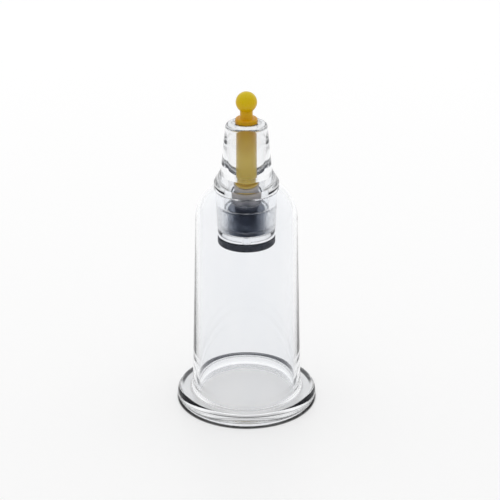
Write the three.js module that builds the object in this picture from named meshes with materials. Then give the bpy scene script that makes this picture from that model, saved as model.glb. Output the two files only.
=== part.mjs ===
// Vacuum cupping cup with a lift valve. Millimetres, +Z up, the rim stands on z = 0.
import * as THREE from 'three';

// Rim: a thick rounded bead round the mouth.
const RIM_R = 20.5;
const RIM_T = 3.76;
const MOUTH_R = 14.55;
const MOUTH_EDGE = 0.7;
const RIM_FILLET = 1.15;

// Wall and dome: drafted tube closed by a round dome.
const WALL_R_LOW = 15.98;
const WALL_R_TOP = 14.6;
const WALL_Z_TOP = 57.5;
const DOME_R = 11;
const SHELL_T = 1.25;

// Neck, shoulder and nozzle on top of the dome.
const NECK_R = 9.25;
const NECK_Z = 69.1;
const NOZZLE_R_LOW = 7.2;
const NOZZLE_Z_LOW = 72.6;
const NOZZLE_R_TOP = 5.95;
const LIP_Z = 86.75;
const LIP_R_OUT = 4.15;
const LIP_R_IN = 3.62;
const LIP_SLOPE = 28;
const LIP_EDGE_R = 1.1;
const LIP_CREST_R = 0.5;

// Valve chamber under the neck.
const BORE_R = 3.42;
const CAVITY_R = 6.3;
const CAVITY_Z = 70.7;
const SKIRT_R_TOP = 8.6;
const SKIRT_R = 8.45;
const SKIRT_IN_R = 6.9;
const SKIRT_Z = 55.3;
const INSERT_TOP = 61.6;
const INNER_RING_Z = 4.2;

// Gap left between two pieces that touch.
const GAP = 0.3;

// Clear sleeve glued into the chamber's skirt.
const INSERT_R = SKIRT_IN_R - GAP;
const INSERT_BORE_R = 5.8;

// Clear retainer, and under it the black rubber disc with a boss that is the valve's seat.
const RETAINER_R = 8.3;
const RETAINER_Z = 52.9;
const DISC_R = 8.25;
const DISC_Z = 50.4;
const DISC_HOLE_R = 0.45;
const BOSS_R_LOW = 2.2;
const BOSS_R_TOP = 0.8;
const BOSS_TOP = 55;

// Lift pin.
const BALL_R = 3;
const BALL_Z = 92.5;
const PIN_NECK_R = 1.78;
const SHAFT_R = 3.12;
const SHAFT_TOP = 87.9;
const FLANGE_R = 4.25;
const FLANGE_Z = 68.5;
const FLANGE_T = 0.75;
const SPIGOT_R = 1.5;
const SPIGOT_Z = 63.4;
const SHAFT_EDGE = 0.5;
const FOOT_R = 3.9;
const FOOT_T = 0.5;

// Smoky bell under the pin, which holds the black cone and guides it in the sleeve.
const HOLDER_R_TOP = 4.3;
const HOLDER_R = 4.1;
const HOLDER_TOP = 66.6;
const HOLDER_Z = 62.2;
const PEG_R = 1.2;
const PEG_Z = 59.6;
const BELL_R = 5.4;
const BELL_Z = 55.7;
const BELL_BEND_R = 1.8;
const SHOULDER_Z = 63.1;

// Black cone that closes the seat.
const PLUG_R = 3.3;
const PLUG_TOP = HOLDER_Z - GAP;
const PLUG_TIP_R = 0.35;
const PLUG_TIP_Z = 55.4;

// Small broken edges of the moulded pieces.
const EDGE = 0.2;
const EDGE_WIDE = 0.3;

const DEG = Math.PI / 180;

// Points of an arc round (cr, cz), from angle a to angle b in degrees.
function arc(cr, cz, radius, a, b, steps) {
  const points = [];
  for (let i = 0; i <= steps; i++) {
    const t = (a + (b - a) * i / steps) * DEG;
    points.push([cr + radius * Math.cos(t), cz + radius * Math.sin(t)]);
  }
  return points;
}

// A named mesh turned from a closed or axis-to-axis profile of [radius, height] points.
function turned(name, profile, segments, material) {
  const points = profile.map(([r, z]) => new THREE.Vector2(r, z));
  const geometry = new THREE.LatheGeometry(points, segments);
  geometry.rotateX(Math.PI / 2);
  const mesh = new THREE.Mesh(geometry, material);
  mesh.name = name;
  return mesh;
}

function clearPlastic() {
  return new THREE.MeshStandardMaterial({
    color: 0xe9ecef, roughness: 0.08, metalness: 0, transparent: true, opacity: 0.3,
  });
}

function blackRubber() {
  return new THREE.MeshStandardMaterial({ color: 0x1b1c21, roughness: 0.6, metalness: 0 });
}

// Angle on a dome arc of the given radius where it reaches radius r from the axis.
function domeAngle(radius, r) {
  return Math.acos((r - (WALL_R_TOP - DOME_R)) / radius) / DEG;
}

// Rounded rim of the nozzle, from its outer edge over the flat crest into the bore.
function lipProfile() {
  const turn = 90 - LIP_SLOPE;
  const crestStart = [
    LIP_R_OUT + LIP_CREST_R * Math.cos(turn * DEG),
    LIP_Z - LIP_CREST_R + LIP_CREST_R * Math.sin(turn * DEG),
  ];
  const edgeR = NOZZLE_R_TOP - LIP_EDGE_R;
  const run = edgeR + LIP_EDGE_R * Math.cos(turn * DEG) - crestStart[0];
  const edgeEndZ = crestStart[1] - run * Math.tan(LIP_SLOPE * DEG);
  const edgeZ = edgeEndZ - LIP_EDGE_R * Math.sin(turn * DEG);
  return [
    ...arc(edgeR, edgeZ, LIP_EDGE_R, 0, turn, 5),
    ...arc(LIP_R_OUT, LIP_Z - LIP_CREST_R, LIP_CREST_R, turn, 90, 2),
    ...arc(LIP_R_IN, LIP_Z - LIP_R_IN + BORE_R, LIP_R_IN - BORE_R, 90, 180, 2),
  ];
}

function cupBody() {
  const beadR = RIM_T / 2;
  const domeC = WALL_R_TOP - DOME_R;
  const innerDome = DOME_R - SHELL_T;
  const outside = [
    [MOUTH_R + MOUTH_EDGE, 0],
    ...arc(RIM_R - beadR, beadR, beadR, -90, 90, 10),
    ...arc(WALL_R_LOW + RIM_FILLET, RIM_T + RIM_FILLET, RIM_FILLET, 270, 180, 4),
    ...arc(domeC, WALL_Z_TOP, DOME_R, 0, domeAngle(DOME_R, NECK_R), 8),
    [NECK_R, NECK_Z - EDGE],
    [NECK_R - EDGE / 2, NECK_Z],
    [NOZZLE_R_LOW + EDGE / 2, NOZZLE_Z_LOW - EDGE],
    [NOZZLE_R_LOW, NOZZLE_Z_LOW + EDGE],
    ...lipProfile(),
  ];
  const inside = [
    [BORE_R, CAVITY_Z],
    [CAVITY_R, CAVITY_Z],
    [CAVITY_R, INSERT_TOP + GAP],
    [SKIRT_IN_R, INSERT_TOP + GAP],
    [SKIRT_IN_R, SKIRT_Z],
    [SKIRT_R, SKIRT_Z],
    ...arc(domeC, WALL_Z_TOP, innerDome, domeAngle(innerDome, SKIRT_R_TOP), 0, 8),
    [MOUTH_R, INNER_RING_Z],
    ...arc(MOUTH_R + MOUTH_EDGE, MOUTH_EDGE, MOUTH_EDGE, 180, 270, 4),
  ];
  return turned('cup_body', [...outside, ...inside], 56, clearPlastic());
}

function valveInsert() {
  const bore = INSERT_BORE_R;
  const profile = [
    [bore, SKIRT_Z],
    [INSERT_R - EDGE_WIDE, SKIRT_Z],
    [INSERT_R, SKIRT_Z + EDGE_WIDE],
    [INSERT_R, INSERT_TOP],
    [bore + EDGE, INSERT_TOP],
    [bore, INSERT_TOP - EDGE_WIDE],
    [bore, SKIRT_Z],
  ];
  return turned('valve_insert', profile, 48, clearPlastic());
}

// The retainer's hole follows the rubber boss that passes through it.
function retainerDisc() {
  const top = SKIRT_Z - GAP;
  const profile = [
    [BOSS_R_LOW + GAP, RETAINER_Z],
    [RETAINER_R - EDGE, RETAINER_Z],
    [RETAINER_R, RETAINER_Z + EDGE],
    [RETAINER_R, top - EDGE],
    [RETAINER_R - EDGE, top],
    [BOSS_R_TOP + 2 * GAP, top],
    [BOSS_R_LOW + GAP, RETAINER_Z],
  ];
  return turned('retainer_disc', profile, 56, clearPlastic());
}

function rubberDisc() {
  const top = RETAINER_Z - GAP;
  const profile = [
    [DISC_HOLE_R, DISC_Z],
    [DISC_R - EDGE_WIDE, DISC_Z],
    [DISC_R, DISC_Z + EDGE_WIDE],
    [DISC_R, top - EDGE_WIDE],
    [DISC_R - EDGE_WIDE, top],
    [BOSS_R_LOW, top],
    [BOSS_R_TOP, BOSS_TOP],
    [DISC_HOLE_R, BOSS_TOP],
    [DISC_HOLE_R, DISC_Z],
  ];
  return turned('rubber_disc', profile, 56, blackRubber());
}

function valveStem() {
  const neckMeet = Math.asin(PIN_NECK_R / BALL_R) / DEG;
  const profile = [
    [0, SPIGOT_Z],
    [SPIGOT_R - EDGE_WIDE, SPIGOT_Z],
    [SPIGOT_R, SPIGOT_Z + EDGE_WIDE],
    [SPIGOT_R, HOLDER_TOP + GAP],
    [FOOT_R, HOLDER_TOP + GAP],
    [FOOT_R, HOLDER_TOP + GAP + FOOT_T],
    [SPIGOT_R, HOLDER_TOP + GAP + FOOT_T],
    [SPIGOT_R, FLANGE_Z],
    [FLANGE_R - EDGE, FLANGE_Z],
    [FLANGE_R, FLANGE_Z + EDGE],
    [FLANGE_R, FLANGE_Z + FLANGE_T - EDGE],
    [FLANGE_R - EDGE, FLANGE_Z + FLANGE_T],
    [SHAFT_R, FLANGE_Z + FLANGE_T],
    ...arc(SHAFT_R - SHAFT_EDGE, SHAFT_TOP - SHAFT_EDGE, SHAFT_EDGE, 0, 90, 3),
    [PIN_NECK_R + EDGE, SHAFT_TOP],
    [PIN_NECK_R, SHAFT_TOP + EDGE],
    ...arc(0, BALL_Z, BALL_R, neckMeet - 90, 80, 13),
    [0, BALL_Z + BALL_R],
  ];
  const yellow = new THREE.MeshStandardMaterial({ color: 0xc9a20a, roughness: 0.35, metalness: 0 });
  return turned('valve_stem', profile, 40, yellow);
}

function plugHolder() {
  const bend = BELL_R - BELL_BEND_R;
  const profile = [
    [0, PEG_Z],
    [PEG_R, PEG_Z],
    [PEG_R, HOLDER_Z],
    [PLUG_R + GAP, HOLDER_Z],
    [PLUG_R + GAP, BELL_Z],
    [BELL_R - EDGE, BELL_Z],
    [BELL_R, BELL_Z + EDGE],
    ...arc(bend, SHOULDER_Z - 1.5 * BELL_BEND_R, BELL_BEND_R, 0, 60, 4),
    [HOLDER_R, SHOULDER_Z],
    [HOLDER_R_TOP, HOLDER_TOP - EDGE_WIDE],
    [HOLDER_R_TOP - EDGE_WIDE, HOLDER_TOP],
    [SPIGOT_R + GAP, HOLDER_TOP],
    [SPIGOT_R + GAP, SPIGOT_Z - GAP],
    [0, SPIGOT_Z - GAP],
  ];
  const smoke = new THREE.MeshStandardMaterial({
    color: 0x5a5e66, roughness: 0.35, metalness: 0, transparent: true, opacity: 0.8,
  });
  return turned('plug_holder', profile, 40, smoke);
}

// The cone's side is a quarter of an ellipse, steep at the top and blunt at the tip.
function valvePlug() {
  const sideZ = PLUG_TIP_Z + EDGE / 2;
  const rise = PLUG_TOP - EDGE_WIDE - sideZ;
  const steps = 6;
  const side = [];
  for (let i = 0; i <= steps; i++) {
    const t = Math.PI / 2 * i / steps;
    side.push([PLUG_TIP_R + (PLUG_R - PLUG_TIP_R) * Math.sin(t), sideZ + rise * (1 - Math.cos(t))]);
  }
  const profile = [
    [0, PLUG_TIP_Z],
    ...side,
    [PLUG_R - EDGE, PLUG_TOP],
    [PEG_R + GAP, PLUG_TOP],
    [PEG_R + GAP, PEG_Z - GAP],
    [0, PEG_Z - GAP],
  ];
  return turned('valve_plug', profile, 40, blackRubber());
}

const part = new THREE.Group();
part.name = 'vacuum_cupping_cup';
part.add(cupBody());
part.add(valveInsert());
part.add(retainerDisc());
part.add(rubberDisc());
part.add(valveStem());
part.add(plugHolder());
part.add(valvePlug());

export default part;
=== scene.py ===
"""Looks of a clear vacuum cupping cup with a yellow lift valve, built around the CAD frame."""
import math

import bmesh
import bpy
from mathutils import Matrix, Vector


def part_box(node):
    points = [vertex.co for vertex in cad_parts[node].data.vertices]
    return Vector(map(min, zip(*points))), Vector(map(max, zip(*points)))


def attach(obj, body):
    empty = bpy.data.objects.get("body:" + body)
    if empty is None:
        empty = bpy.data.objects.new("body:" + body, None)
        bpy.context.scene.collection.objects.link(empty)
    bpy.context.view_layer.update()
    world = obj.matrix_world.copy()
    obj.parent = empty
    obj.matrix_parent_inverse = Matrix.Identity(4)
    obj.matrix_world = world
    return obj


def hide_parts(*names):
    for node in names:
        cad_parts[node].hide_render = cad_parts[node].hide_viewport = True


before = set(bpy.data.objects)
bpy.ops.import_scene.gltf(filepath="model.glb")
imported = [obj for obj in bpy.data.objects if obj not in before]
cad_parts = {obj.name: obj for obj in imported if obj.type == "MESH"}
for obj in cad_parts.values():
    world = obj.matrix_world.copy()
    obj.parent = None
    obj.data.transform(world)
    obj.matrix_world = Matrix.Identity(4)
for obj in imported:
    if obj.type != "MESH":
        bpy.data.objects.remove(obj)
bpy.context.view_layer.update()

MM = 0.001
SEGMENTS = 144
SHARP_ANGLE = math.radians(25)


def span(node):
    """Outer radius, bottom and top of a CAD node, in millimetres."""
    low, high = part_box(node)
    return high.x / MM, low.z / MM, high.z / MM


# Outlines that the CAD boxes give, in millimetres.
RIM_R, _, LIP_Z = span("cup_body")
_, SKIRT_Z, INSERT_TOP = span("valve_insert")
RETAINER_R, RETAINER_Z, RETAINER_TOP = span("retainer_disc")
DISC_R, DISC_Z, _ = span("rubber_disc")
FLANGE_R, SPIGOT_Z, PIN_TOP = span("valve_stem")
BELL_R, BELL_Z, HOLDER_TOP = span("plug_holder")
PLUG_R, PLUG_TIP_Z, PLUG_TOP = span("valve_plug")

# Gap that the CAD leaves between two pieces.
GAP = 0.3

# Bell of the cup.
RIM_T = 3.76
MOUTH_R = 14.55
MOUTH_EDGE = 0.7
INNER_RING_Z = 4.2
RIM_FILLET = 1.15
WALL_R_LOW = 15.98
WALL_R_TOP = 14.6
WALL_Z_TOP = 57.5
DOME_R = 11
SHELL_T = 1.25

# Neck, nozzle and valve chamber. Bore and holes are narrower than the CAD's, to suit the photo.
NECK_R = 9.25
NECK_Z = 69.1
NOZZLE_R_LOW = 7.2
NOZZLE_Z_LOW = 72.6
NOZZLE_R_TOP = 5.95
LIP_R_OUT = 4.15
LIP_R_IN = 3.62
LIP_SLOPE = 28
LIP_EDGE_R = 1.1
LIP_CREST_R = 0.5
BORE_R = 3.2
CAVITY_R = 6.3
CAVITY_Z = 70.7
SKIRT_R_TOP = 8.6
SKIRT_R = 8.45
SKIRT_IN_R = 6.9
SLEEVE_BORE_R = 5.8
HOLE_R_LOW = 0.8
HOLE_R_TOP = 0.65
DISC_TOP = RETAINER_Z - GAP
DISC_HOLE_R = 0.25

# Valve pin, holder and cone.
BALL_R = 3
BALL_Z = PIN_TOP - BALL_R
PIN_NECK_R = 1.78
SHAFT_R = 3.12
SHAFT_TOP = 87.9
SHAFT_EDGE = 0.5
FLANGE_Z = 68.5
FLANGE_T = 0.75
SPIGOT_R = 1.5
FOOT_R = 3.9
FOOT_T = 0.5
HOLDER_R_TOP = 4.3
HOLDER_R = 4.1
HOLDER_Z = 62.2
BELL_BEND_R = 1.8
SHOULDER_Z = 63.1
PEG_R = 1.2
PEG_Z = 59.6
PLUG_TIP_R = 0.25

# Broken edges of the mouldings, and the glue between the skirt and the sleeve.
EDGE = 0.2
EDGE_WIDE = 0.3
GLUE = 0.02
GLUE_BEAD = 0.45

# Clear plastic: colours between which it drifts, roughness range, patch size and relief in millimetres.
PLASTIC_IOR = 1.57
GLOSS_TINT = (0.1, 0.12, 0.18)
FLOW_DETAIL = 3.0
SHELL_COLORS = ((0.96, 0.965, 0.975), (0.935, 0.945, 0.96))
SHELL_HAZE = (0.0, 0.012)
SHELL_PATCH = 9
SHELL_DEPTH = 0.006
SHELL_STRETCH = (1, 1, 3)
# The film's grey colour is painted shade over its real mottling.
FILM_SHADE_COLORS = ((0.97, 0.98, 0.99), (0.45, 0.48, 0.52))
FILM_HAZE = (0.0, 0.01)
FILM_PATCH = 0.45
FILM_DEPTH = 0.12
BEAD_COLORS = ((0.5, 0.52, 0.56), (0.02, 0.02, 0.03))
BEAD_HAZE = (0.0, 0.05)
BEAD_PATCH = 0.5
BEAD_DEPTH = 0.1

# Yellow plastic: warm at the collar, lemon at the ball as a painted highlight from above, and paler inside
# the nozzle as painted reflection.
YELLOW_IOR = 1.5
YELLOW_GLOSS = 0.25
YELLOW_ROUGHNESS = (0.24, 0.4)
YELLOW_PATCH = 2.2
YELLOW_HAZE_PATCH = 0.6
YELLOW_GRAIN = 0.35
YELLOW_DEPTH = 0.012
YELLOW_WARM = ((0.68, 0.31, 0.0), (0.72, 0.40, 0.0))
YELLOW_LIT_TOP = (0.74, 0.56, 0.0)
YELLOW_WASHED_INSIDE = (1.0, 0.74, 0.17)
WASH_START = SHAFT_TOP - 1.5
WASH_END = LIP_Z - 10

# Smoky plastic: dark and clear below, nearly opaque at the neck, where a pale colour is painted light from
# above.
SMOKE_IOR = 1.08
SMOKE_ROUGHNESS = 0.04
SMOKE_DARK = ((0.17, 0.185, 0.215), (0.25, 0.27, 0.31))
SMOKE_LIT_NECK = (0.85, 0.8, 0.78)
SMOKE_START = SHOULDER_Z - 1.5
SMOKE_CLEAR = 1.0
SMOKE_SOLID = 0.1
SMOKE_SOLID_AT = 0.7
SMOKE_PATCH = 1.2
SMOKE_GRAIN = 0.4
SMOKE_DEPTH = 0.004

# Black rubber: patches and grain in millimetres, and the noise values over which the mottling turns pale.
RUBBER_IOR = 1.5
RUBBER_COLORS = ((0.008, 0.009, 0.014), (0.045, 0.052, 0.065))
RUBBER_ROUGHNESS = (0.4, 0.7)
RUBBER_PATCH = 0.8
RUBBER_MOTTLING = (0.4, 0.7)
RUBBER_HAZE_PATCH = 0.5
RUBBER_GRAIN = 0.3
RUBBER_DEPTH = 0.03
FINE_DETAIL = 6.0
GRAIN_DETAIL = 5.0

# Floor disc and its lit part in metres, its drop in millimetres, and how the light fades with distance.
FLOOR_R = 6
FLOOR_SEGMENTS = 96
FLOOR_DROP = 0.02
FLOOR_IOR = 1.45
FLOOR_WHITE = 0.5
FLOOR_ROUGHNESS = 0.3
LIT_WIDTH = 0.17
LIT_LENGTH = 0.26
LIT_CENTRE = 0.18
LIT_FADE = 2.2
LIT_FAR = 0.6
LIT_STRENGTH = 0.48

# Contact shadow under the rim, in millimetres, and what it leaves of the light.
SHADOW_START = 0.3
SHADOW_EDGE = 0.4
SHADOW_INNER_EDGE = 0.5
SHADOW_LEVEL = 0.02

# Sky: the world's Y direction over which it darkens to the front, and Z over which it is white again.
FRONT_START = 0.4
FRONT_END = -0.4
FRONT_LEVEL = 0.6
TOP_START = 0.55
TOP_END = 0.9
SKY_STRENGTH = 1.0

# Camera in metres and degrees, lens and sensor in millimetres, and the bounces of a ray.
CAMERA_PLACE = (0.001, -0.475, 0.26474)
CAMERA_TILT = 24.593
CAMERA_LENS = 130.65
CAMERA_SENSOR = 36
CLEAR_BOUNCES = 32
GLOSS_BOUNCES = 12


# Meshes

def arc(centre_r, centre_z, radius, start, end, steps):
    """Points of an arc in the (r, z) plane, from one angle to another in degrees."""
    points = []
    for i in range(steps + 1):
        t = math.radians(start + (end - start) * i / steps)
        points.append((centre_r + radius * math.cos(t), centre_z + radius * math.sin(t)))
    return points


def turned(name, outline, material, bands=()):
    """A body of revolution. Faces between two heights and radii in a band take the band's material."""
    mesh = bpy.data.meshes.new(name)
    body = bmesh.new()
    rings = []
    for r, z in outline:
        if r == 0:
            rings.append([body.verts.new((0, 0, z * MM))] * SEGMENTS)
            continue
        ring = []
        for k in range(SEGMENTS):
            t = math.tau * k / SEGMENTS
            ring.append(body.verts.new((r * math.cos(t) * MM, r * math.sin(t) * MM, z * MM)))
        rings.append(ring)
    if outline[0][0] > 0:
        rings.append(rings[0])
    for low, high in zip(rings, rings[1:]):
        for k in range(SEGMENTS):
            n = (k + 1) % SEGMENTS
            corners = dict.fromkeys((low[k], low[n], high[n], high[k]))
            if len(corners) > 2:
                body.faces.new(list(corners))
    bmesh.ops.recalc_face_normals(body, faces=body.faces)
    for face in body.faces:
        face.smooth = True
        centre = face.calc_center_median() / MM
        radius = math.hypot(centre.x, centre.y)
        for slot, (_, z_low, z_high, r_low, r_high) in enumerate(bands, 1):
            if z_low < centre.z < z_high and r_low < radius < r_high:
                face.material_index = slot
    body.to_mesh(mesh)
    body.free()
    mesh.materials.append(material)
    for band in bands:
        mesh.materials.append(band[0])
    mesh.set_sharp_from_angle(angle=SHARP_ANGLE)
    piece = bpy.data.objects.new(name, mesh)
    bpy.context.scene.collection.objects.link(piece)
    return piece


def dome_angle(radius, r):
    """Angle on a dome arc of the given radius where it reaches radius r from the axis."""
    return math.degrees(math.acos((r - WALL_R_TOP + DOME_R) / radius))


def lip_outline():
    """Rounded rim of the nozzle, from its outer edge over the flat crest into the bore."""
    turn = 90 - LIP_SLOPE
    slope = math.radians(LIP_SLOPE)
    crest_r = LIP_R_OUT + LIP_CREST_R * math.sin(slope)
    crest_z = LIP_Z - LIP_CREST_R + LIP_CREST_R * math.cos(slope)
    edge_r = NOZZLE_R_TOP - LIP_EDGE_R
    run = edge_r + LIP_EDGE_R * math.sin(slope) - crest_r
    edge_z = crest_z - run * math.tan(slope) - LIP_EDGE_R * math.cos(slope)
    inner = LIP_R_IN - BORE_R
    return [
        *arc(edge_r, edge_z, LIP_EDGE_R, 0, turn, 8),
        *arc(LIP_R_OUT, LIP_Z - LIP_CREST_R, LIP_CREST_R, turn, 90, 4),
        *arc(LIP_R_IN, LIP_Z - inner, inner, 90, 180, 4),
    ]


def cup_outline():
    """Outside of the cup from the mouth up to the nozzle, then the inside back down."""
    bead = RIM_T / 2
    dome_r = WALL_R_TOP - DOME_R
    inner_dome = DOME_R - SHELL_T
    return [
        (MOUTH_R + MOUTH_EDGE, 0),
        *arc(RIM_R - bead, bead, bead, -90, 90, 24),
        *arc(WALL_R_LOW + RIM_FILLET, RIM_T + RIM_FILLET, RIM_FILLET, 270, 180, 10),
        *arc(dome_r, WALL_Z_TOP, DOME_R, 0, dome_angle(DOME_R, NECK_R), 24),
        (NECK_R, NECK_Z - EDGE),
        (NECK_R - EDGE / 2, NECK_Z),
        (NOZZLE_R_LOW + EDGE / 2, NOZZLE_Z_LOW - EDGE),
        (NOZZLE_R_LOW, NOZZLE_Z_LOW + EDGE),
        *lip_outline(),
        (BORE_R, CAVITY_Z),
        (CAVITY_R, CAVITY_Z),
        (CAVITY_R, INSERT_TOP + EDGE_WIDE),
        (SKIRT_IN_R, INSERT_TOP + EDGE_WIDE),
        (SKIRT_IN_R, SKIRT_Z),
        (SKIRT_R, SKIRT_Z),
        *arc(dome_r, WALL_Z_TOP, inner_dome, dome_angle(inner_dome, SKIRT_R_TOP), 0, 24),
        (MOUTH_R, INNER_RING_Z),
        *arc(MOUTH_R + MOUTH_EDGE, MOUTH_EDGE, MOUTH_EDGE, 180, 260, 8),
    ]


def sleeve_outline():
    """Sleeve in the skirt, with points where the glue beads start."""
    outer = SKIRT_IN_R - GLUE
    return [
        (SLEEVE_BORE_R, SKIRT_Z),
        (outer, SKIRT_Z),
        (outer, SKIRT_Z + GLUE_BEAD),
        (outer, INSERT_TOP - GLUE_BEAD),
        (outer, INSERT_TOP),
        (SLEEVE_BORE_R, INSERT_TOP),
    ]


def retainer_outline():
    """The air hole narrows a little towards the cone above it."""
    low, top, edge = RETAINER_Z, RETAINER_TOP, EDGE
    return [
        (HOLE_R_LOW, low),
        *arc(RETAINER_R - edge, low + edge, edge, -90, 0, 5),
        *arc(RETAINER_R - edge, top - edge, edge, 0, 90, 5),
        (HOLE_R_TOP, top),
    ]


def washer_outline():
    """Flat rubber disc with its air hole. The boss of the CAD is left out, as the photo shows none."""
    edge = EDGE_WIDE
    return [
        (DISC_HOLE_R, DISC_Z),
        *arc(DISC_R - edge, DISC_Z + edge, edge, -90, 0, 5),
        *arc(DISC_R - edge, DISC_TOP - edge, edge, 0, 90, 5),
        (DISC_HOLE_R, DISC_TOP),
    ]


def pin_outline():
    """Pin from its spigot up: foot disc, flange, shaft, neck and ball."""
    neck_meet = math.degrees(math.asin(PIN_NECK_R / BALL_R))
    return [
        (0, SPIGOT_Z),
        (SPIGOT_R - EDGE_WIDE, SPIGOT_Z),
        (SPIGOT_R, SPIGOT_Z + EDGE_WIDE),
        (SPIGOT_R, HOLDER_TOP + EDGE),
        *arc(FOOT_R - EDGE, HOLDER_TOP + 2 * EDGE, EDGE, -90, 0, 4),
        *arc(FOOT_R - EDGE, HOLDER_TOP + EDGE + FOOT_T, EDGE, 0, 90, 4),
        (SPIGOT_R, HOLDER_TOP + 2 * EDGE + FOOT_T),
        (SPIGOT_R, FLANGE_Z),
        *arc(FLANGE_R - EDGE, FLANGE_Z + EDGE, EDGE, -90, 0, 4),
        *arc(FLANGE_R - EDGE, FLANGE_Z + FLANGE_T - EDGE, EDGE, 0, 90, 4),
        (SHAFT_R, FLANGE_Z + FLANGE_T),
        *arc(SHAFT_R - SHAFT_EDGE, SHAFT_TOP - SHAFT_EDGE, SHAFT_EDGE, 0, 90, 8),
        *arc(PIN_NECK_R + EDGE_WIDE, SHAFT_TOP + EDGE_WIDE, EDGE_WIDE, 270, 180, 5),
        *arc(0, BALL_Z, BALL_R, neck_meet - 90, 88, 36),
        (0, PIN_TOP),
    ]


def holder_outline():
    """Bell with the peg for the cone inside, its neck, and the socket for the spigot."""
    edge = EDGE_WIDE
    return [
        (0, PEG_Z),
        (PEG_R, PEG_Z),
        (PEG_R, HOLDER_Z),
        (PLUG_R + EDGE, HOLDER_Z),
        (PLUG_R + EDGE, BELL_Z),
        *arc(BELL_R - EDGE, BELL_Z + EDGE, EDGE, -90, 0, 4),
        *arc(BELL_R - BELL_BEND_R, SHOULDER_Z - 1.5 * BELL_BEND_R, BELL_BEND_R, 0, 60, 10),
        (HOLDER_R, SHOULDER_Z),
        *arc(HOLDER_R_TOP - edge, HOLDER_TOP - edge, edge, 0, 90, 5),
        (SPIGOT_R + EDGE / 2, HOLDER_TOP),
        (SPIGOT_R + EDGE / 2, SPIGOT_Z - EDGE / 2),
        (0, SPIGOT_Z - EDGE / 2),
    ]


def plug_outline():
    """Cone with an elliptical side and a socket for the peg."""
    side_z = PLUG_TIP_Z + EDGE / 2
    rise = PLUG_TOP - EDGE_WIDE - side_z
    side = []
    steps = 16
    for i in range(steps + 1):
        t = math.pi / 2 * i / steps
        r = PLUG_TIP_R + (PLUG_R - PLUG_TIP_R) * math.sin(t)
        side.append((r, side_z + rise * (1 - math.cos(t))))
    return [
        (0, PLUG_TIP_Z),
        *side,
        (PLUG_R - EDGE, PLUG_TOP),
        (PEG_R + EDGE, PLUG_TOP),
        (PEG_R + EDGE, PEG_Z - EDGE),
        (0, PEG_Z - EDGE),
    ]


# Materials

def shader_of(name, roughness, ior):
    """A new node material with its Principled shader."""
    material = bpy.data.materials.new(name)
    material.use_nodes = True
    shader = material.node_tree.nodes["Principled BSDF"]
    shader.inputs["Roughness"].default_value = roughness
    shader.inputs["IOR"].default_value = ior
    return material, shader


def add(material, kind, **values):
    """A node with the given socket values, by socket name, or settings of the node itself."""
    node = material.node_tree.nodes.new(kind)
    for name, value in values.items():
        socket = node.inputs.get(name.replace("_", " "))
        if socket:
            socket.default_value = value
        else:
            setattr(node, name, value)
    return node


def link(material, source, target):
    """Joins two sockets of a material's or a world's nodes."""
    material.node_tree.links.new(source, target)


def noise(material, size, detail=FLOW_DETAIL, stretch=(1, 1, 1)):
    """Noise whose patches are about the given size in millimetres, before the stretch."""
    coords = add(material, "ShaderNodeTexCoord")
    scale = add(material, "ShaderNodeMapping", Scale=[1 / (s * size * MM) for s in stretch])
    texture = add(material, "ShaderNodeTexNoise", Scale=1.0, Detail=detail)
    link(material, coords.outputs["Object"], scale.inputs["Vector"])
    link(material, scale.outputs["Vector"], texture.inputs["Vector"])
    return texture.outputs["Fac"]


def height_fade(material, low, high):
    """0 at one height and 1 at another, in millimetres, and the same beyond them."""
    coords = add(material, "ShaderNodeTexCoord")
    parts = add(material, "ShaderNodeSeparateXYZ")
    fade = add(material, "ShaderNodeMapRange", From_Min=low * MM, From_Max=high * MM)
    link(material, coords.outputs["Object"], parts.inputs["Vector"])
    link(material, parts.outputs["Z"], fade.inputs["Value"])
    return fade.outputs["Result"]


def spread(material, value, low, high, start=0.35, end=0.65):
    """Maps a noise value from its usual middle range to a range of numbers."""
    fade = add(material, "ShaderNodeMapRange", From_Min=start, From_Max=end, To_Min=low, To_Max=high)
    link(material, value, fade.inputs["Value"])
    return fade.outputs["Result"]


def blend_colors(material, value, first, second):
    """Colour between two constants or links, as the value goes from 0 to 1."""
    mix = add(material, "ShaderNodeMix", data_type="RGBA")
    link(material, value, mix.inputs[0])
    for color, socket in ((first, mix.inputs[6]), (second, mix.inputs[7])):
        if isinstance(color, tuple):
            socket.default_value = (*color, 1)
        else:
            link(material, color, socket)
    return mix.outputs[2]


def combine(material, operation, first, second):
    """One number from two, by a math node."""
    node = add(material, "ShaderNodeMath", operation=operation)
    for value, socket in zip((first, second), node.inputs):
        link(material, value, socket)
    return node.outputs["Value"]


def bump(material, shader, value, depth):
    """Relief of the given depth in millimetres."""
    relief = add(material, "ShaderNodeBump", Strength=1.0, Distance=depth * MM)
    link(material, value, relief.inputs["Height"])
    link(material, relief.outputs["Normal"], shader.inputs["Normal"])


def clear_plastic(name, colors, roughness, patch, depth, stretch=(1, 1, 1)):
    """Moulded clear plastic: faint flow marks, faint haze, and a colour that drifts a little."""
    material, shader = shader_of(name, roughness[0], PLASTIC_IOR)
    shader.inputs["Transmission Weight"].default_value = 1
    shader.inputs["Specular Tint"].default_value = (*GLOSS_TINT, 1)
    flow = noise(material, patch, FLOW_DETAIL, stretch)
    drift = spread(material, flow, 0, 1)
    link(material, blend_colors(material, drift, *colors), shader.inputs["Base Color"])
    haze = noise(material, patch / 3)
    link(material, spread(material, haze, *roughness), shader.inputs["Roughness"])
    bump(material, shader, flow, depth)
    return material


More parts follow.
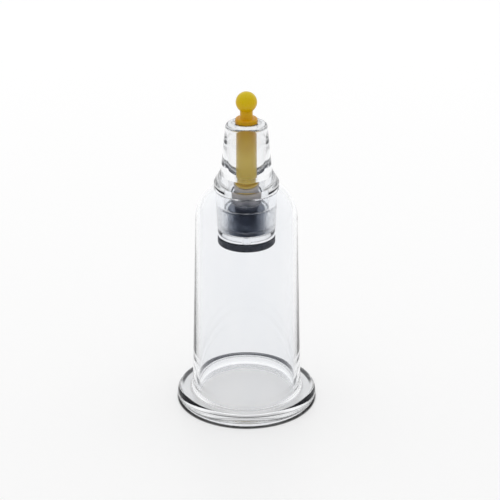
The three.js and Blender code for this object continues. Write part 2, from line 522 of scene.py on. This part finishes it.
def yellow_plastic():
    """Satin yellow plastic, whose colour follows the height: a painted highlight turns the ball lemon, and
    painted reflection makes the shaft paler inside the nozzle.
    """
    material, shader = shader_of("yellow_plastic", YELLOW_ROUGHNESS[0], YELLOW_IOR)
    shader.inputs["Specular IOR Level"].default_value = YELLOW_GLOSS
    drift = spread(material, noise(material, YELLOW_PATCH), 0, 1)
    warm = blend_colors(material, drift, *YELLOW_WARM)
    # Painted highlight: the colour turns lemon towards the top of the ball.
    high = height_fade(material, SHAFT_TOP, PIN_TOP)
    outside = blend_colors(material, high, warm, YELLOW_LIT_TOP)
    # Painted reflection: the shaft turns paler below the nozzle's lip.
    inside = height_fade(material, WASH_START, WASH_END)
    link(material, blend_colors(material, inside, outside, YELLOW_WASHED_INSIDE), shader.inputs["Base Color"])
    haze = noise(material, YELLOW_HAZE_PATCH)
    link(material, spread(material, haze, *YELLOW_ROUGHNESS), shader.inputs["Roughness"])
    bump(material, shader, noise(material, YELLOW_GRAIN), YELLOW_DEPTH)
    return material


def smoky_plastic():
    """Smoky, nearly clear bell: dark and translucent below, nearly opaque at the neck, where a pale colour
    paints the light falling from above.
    """
    material, shader = shader_of("smoky_plastic", SMOKE_ROUGHNESS, SMOKE_IOR)
    # Painted light: the neck turns pale where light falls from above, and it is nearly opaque there.
    solid_lit_neck = height_fade(material, SMOKE_START, HOLDER_TOP)
    drift = spread(material, noise(material, SMOKE_PATCH), 0, 1)
    dark = blend_colors(material, drift, *SMOKE_DARK)
    link(material, blend_colors(material, solid_lit_neck, dark, SMOKE_LIT_NECK), shader.inputs["Base Color"])
    clear = spread(material, solid_lit_neck, SMOKE_CLEAR, SMOKE_SOLID, 0, SMOKE_SOLID_AT)
    link(material, clear, shader.inputs["Transmission Weight"])
    bump(material, shader, noise(material, SMOKE_GRAIN), SMOKE_DEPTH)
    return material


def black_rubber():
    """Matt rubber with pale mottling."""
    material, shader = shader_of("black_rubber", RUBBER_ROUGHNESS[0], RUBBER_IOR)
    mottling = spread(material, noise(material, RUBBER_PATCH, FINE_DETAIL), 0, 1, *RUBBER_MOTTLING)
    link(material, blend_colors(material, mottling, *RUBBER_COLORS), shader.inputs["Base Color"])
    haze = noise(material, RUBBER_HAZE_PATCH)
    link(material, spread(material, haze, *RUBBER_ROUGHNESS), shader.inputs["Roughness"])
    bump(material, shader, noise(material, RUBBER_GRAIN, GRAIN_DETAIL), RUBBER_DEPTH)
    return material


# Pieces

def place(piece, node, body):
    """The fine piece stands for its CAD node, on the node's body."""
    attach(piece, body)
    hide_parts(node)


def make_cup():
    """The clear pieces. A wrinkled film lies on the skirt's inner wall, with a glue bead at each end; the
    film's wrinkles and mottling are real, its grey tone is painted shade.
    """
    shell = clear_plastic("clear_shell", SHELL_COLORS, SHELL_HAZE, SHELL_PATCH, SHELL_DEPTH, SHELL_STRETCH)
    # The film's grey colour is painted shade; its mottling and relief are real.
    film = clear_plastic("film_painted_shade", FILM_SHADE_COLORS, FILM_HAZE, FILM_PATCH, FILM_DEPTH)
    bead = clear_plastic("glue_bead", BEAD_COLORS, BEAD_HAZE, BEAD_PATCH, BEAD_DEPTH)
    reach = (SKIRT_IN_R - EDGE, SKIRT_IN_R + EDGE)
    filmed = (film, SKIRT_Z, INSERT_TOP, *reach)
    upper = (bead, INSERT_TOP - GLUE_BEAD, INSERT_TOP, *reach)
    lower = (bead, SKIRT_Z, SKIRT_Z + GLUE_BEAD, *reach)
    cup = turned("cup_shell", cup_outline(), shell, (filmed,))
    place(cup, "cup_body", "cup")
    sleeve = turned("valve_sleeve", sleeve_outline(), shell, (upper, lower))
    place(sleeve, "valve_insert", "cup")
    place(turned("seat_disc", retainer_outline(), shell), "retainer_disc", "cup")


def make_valve():
    """The rubber disc of the cup, and the three pieces that the pin lifts."""
    rubber = black_rubber()
    place(turned("rubber_washer", washer_outline(), rubber), "rubber_disc", "cup")
    pin = turned("lift_pin", pin_outline(), yellow_plastic())
    place(pin, "valve_stem", "lift_valve")
    holder = turned("cone_holder", holder_outline(), smoky_plastic())
    place(holder, "plug_holder", "lift_valve")
    place(turned("rubber_cone", plug_outline(), rubber), "valve_plug", "lift_valve")


# Studio

def fade_between(material, value, low, high, first, last):
    """A soft step from the first number to the last, between a low and a high value."""
    step = add(material, "ShaderNodeMapRange", From_Min=low, From_Max=high, To_Min=first,
               To_Max=last, interpolation_type="SMOOTHSTEP")
    link(material, value, step.inputs["Value"])
    return step.outputs["Result"]


def distance(material, centre_y, half_width, half_length):
    """Distance on the floor from a point on the Y axis, in units of the given half sizes."""
    coords = add(material, "ShaderNodeTexCoord")
    scaled = add(material, "ShaderNodeMapping", Scale=(1 / half_width, 1 / half_length, 0))
    scaled.inputs["Location"].default_value = (0, -centre_y / half_length, 0)
    length = add(material, "ShaderNodeVectorMath", operation="LENGTH")
    link(material, coords.outputs["Object"], scaled.inputs["Vector"])
    link(material, scaled.outputs["Vector"], length.inputs[0])
    return length.outputs["Value"]


def make_floor():
    """A lit white table that fades out to grey, with the cup's contact shadow under the rim."""
    material, shader = shader_of("floor_white", FLOOR_ROUGHNESS, FLOOR_IOR)
    far = distance(material, LIT_CENTRE, LIT_WIDTH, LIT_LENGTH)
    glow = fade_between(material, far, 1, LIT_FADE, 1, LIT_FAR)
    near = distance(material, 0, MM, MM)
    outside = fade_between(material, near, RIM_R - SHADOW_START, RIM_R + SHADOW_EDGE, SHADOW_LEVEL, 1)
    inner_r = RIM_R - RIM_T / 2
    inside = fade_between(material, near, inner_r, inner_r + SHADOW_INNER_EDGE, 1, SHADOW_LEVEL)
    open_air = combine(material, "MAXIMUM", outside, inside)
    link(material, combine(material, "MULTIPLY", glow, open_air), shader.inputs["Emission Color"])
    shader.inputs["Emission Strength"].default_value = LIT_STRENGTH
    white = (FLOOR_WHITE, FLOOR_WHITE, FLOOR_WHITE)
    link(material, blend_colors(material, open_air, (0, 0, 0), white), shader.inputs["Base Color"])
    mesh = bpy.data.meshes.new("floor")
    disc = bmesh.new()
    bmesh.ops.create_circle(disc, cap_ends=True, segments=FLOOR_SEGMENTS, radius=FLOOR_R)
    disc.to_mesh(mesh)
    disc.free()
    mesh.materials.append(material)
    floor = bpy.data.objects.new("floor", mesh)
    floor.location.z = -FLOOR_DROP * MM
    bpy.context.scene.collection.objects.link(floor)


def make_world():
    """White above and behind, softly darker towards the front, where the camera stands."""
    world = bpy.data.worlds.new("studio")
    world.use_nodes = True
    bpy.context.scene.world = world
    sky = world.node_tree.nodes["Background"]
    coords = add(world, "ShaderNodeTexCoord")
    parts = add(world, "ShaderNodeSeparateXYZ")
    front = add(world, "ShaderNodeMapRange", From_Min=FRONT_START, From_Max=FRONT_END,
                To_Min=1.0, To_Max=FRONT_LEVEL, interpolation_type="SMOOTHSTEP")
    top = add(world, "ShaderNodeMapRange", From_Min=TOP_START, From_Max=TOP_END,
              To_Min=0.0, To_Max=1.0, interpolation_type="SMOOTHSTEP")
    light = add(world, "ShaderNodeMath", operation="MAXIMUM")
    link(world, coords.outputs["Generated"], parts.inputs["Vector"])
    link(world, parts.outputs["Y"], front.inputs["Value"])
    link(world, parts.outputs["Z"], top.inputs["Value"])
    link(world, front.outputs["Result"], light.inputs[0])
    link(world, top.outputs["Result"], light.inputs[1])
    link(world, light.outputs["Value"], sky.inputs["Color"])
    sky.inputs["Strength"].default_value = SKY_STRENGTH


def make_camera():
    """The photo's camera, which looks down on the cup from the front."""
    data = bpy.data.cameras.new("camera")
    data.lens = CAMERA_LENS
    data.sensor_width = CAMERA_SENSOR
    camera = bpy.data.objects.new("camera", data)
    camera.location = CAMERA_PLACE
    camera.rotation_euler = (math.radians(90 - CAMERA_TILT), 0, 0)
    bpy.context.scene.collection.objects.link(camera)
    bpy.context.scene.camera = camera


def set_rendering():
    """Plain sRGB view and enough bounces for light that crosses many clear walls."""
    scene = bpy.context.scene
    scene.view_settings.view_transform = "Standard"
    scene.cycles.max_bounces = CLEAR_BOUNCES
    scene.cycles.transmission_bounces = CLEAR_BOUNCES
    scene.cycles.glossy_bounces = GLOSS_BOUNCES


make_camera()
make_cup()
make_valve()
make_floor()
make_world()
set_rendering()
